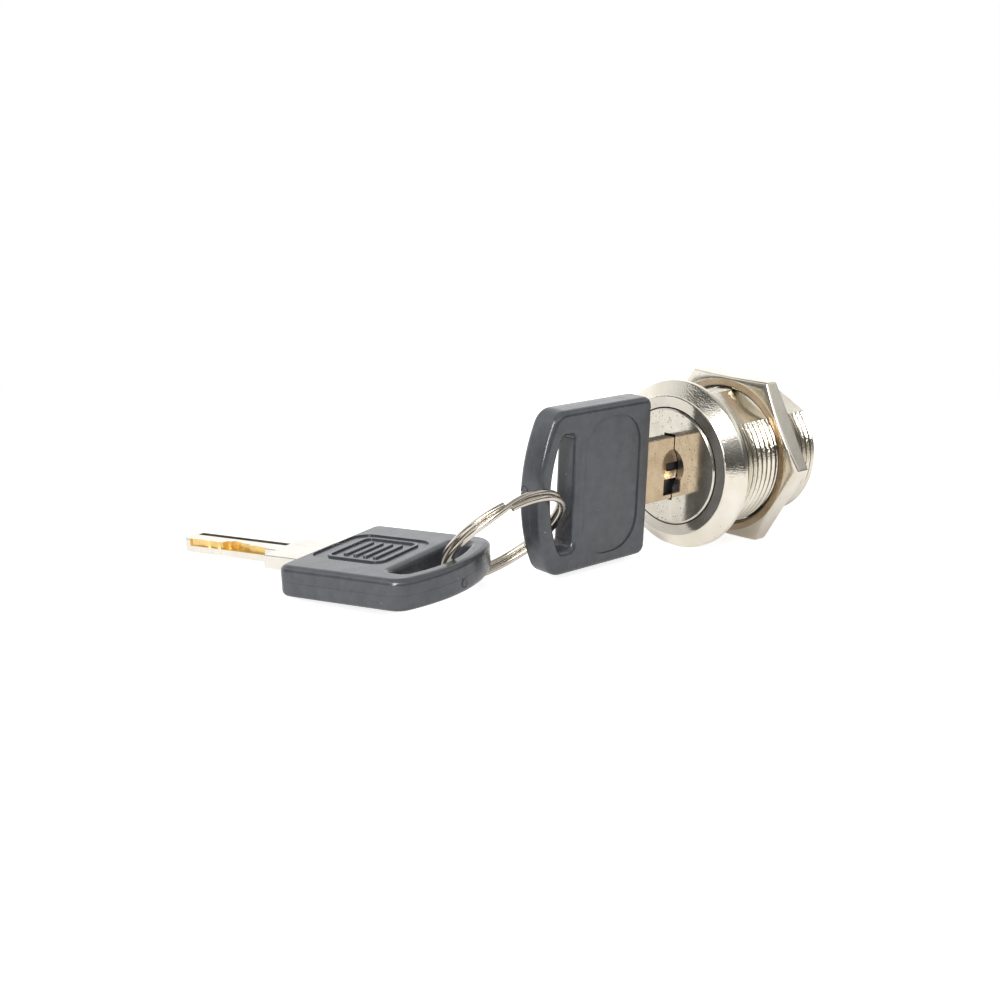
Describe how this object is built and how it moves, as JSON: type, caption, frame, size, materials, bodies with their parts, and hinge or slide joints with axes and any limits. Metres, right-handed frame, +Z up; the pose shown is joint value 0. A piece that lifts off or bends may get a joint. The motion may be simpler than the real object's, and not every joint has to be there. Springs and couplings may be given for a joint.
{
  "type": "cart lock",
  "caption": "Threaded cam lock with a key in its turning plug, a hexagon mounting nut, a locking cam and a spare key on a split ring.",
  "frame": {"origin": "on the lock's axis, in the plane of the flange's seat, where the front face of the panel comes", "axes": "+Y along the lock's axis from the face to the cam, +Z up, the key in the plug upright"},
  "size_m": [0.0528, 0.0798, 0.0232],
  "materials": {
    "nickel_body": "nickel plate, satin with fine specks",
    "nickel_nut": "nickel plate",
    "nickel_plug": "polished nickel plate",
    "wafer_brass": "bare stamped brass",
    "spring_steel": "drawn wire",
    "zinc_steel": "zinc plate",
    "nickel_blade": "nickel-plated brass, bare brass in the milled cuts",
    "head_plastic": "semi-gloss moulded plastic",
    "ring_wire": "nickel-plated wire"
  },
  "bodies": {
    "lock": {"lock_body": "nickel_body"},
    "nut": {"hex_nut": "nickel_nut"},
    "plug": {"plug": "nickel_plug", "wafer_1": "wafer_brass", "wafer_2": "wafer_brass", "wafer_3": "wafer_brass", "wafer_4": "wafer_brass", "wafer_5": "wafer_brass", "wafer_6": "wafer_brass", "wafer_7": "wafer_brass", "wafer_springs": "spring_steel", "stop_washer": "zinc_steel", "cam": "zinc_steel", "cam_washer": "zinc_steel", "cam_screw": "zinc_steel"},
    "key_1": {"key_1_blade": "nickel_blade", "key_1_head": "head_plastic"},
    "ring": {"split_ring": "ring_wire"},
    "key_2": {"key_2_blade": "nickel_blade", "key_2_head": "head_plastic"}
  },
  "joints": [
    {"name": "plug_turn", "type": "hinge", "parent": "lock", "child": "plug", "pos_m": [0, 0, 0], "axis": [0, 1, 0], "range_deg": [0, 90]},
    {"name": "key_1_slide", "type": "slide", "parent": "plug", "child": "key_1", "axis": [0, -1, 0], "range_m": [0, 0.024]},
    {"name": "ring_swing", "type": "hinge", "parent": "key_1", "child": "ring", "pos_m": [0.00003, -0.02457, -0.00379], "axis": [0.6488, -0.1274, 0.7503], "range_deg": [-30, 10]},
    {"name": "key_2_swing", "type": "hinge", "parent": "ring", "child": "key_2", "pos_m": [-0.0035, -0.04006, -0.00795], "axis": [-0.3049, 0.9524, 0], "range_deg": [0, 40]},
    {"name": "nut_travel", "type": "slide", "parent": "lock", "child": "nut", "axis": [0, 1, 0], "range_m": [-0.0082, 0.0069]}
  ]
}
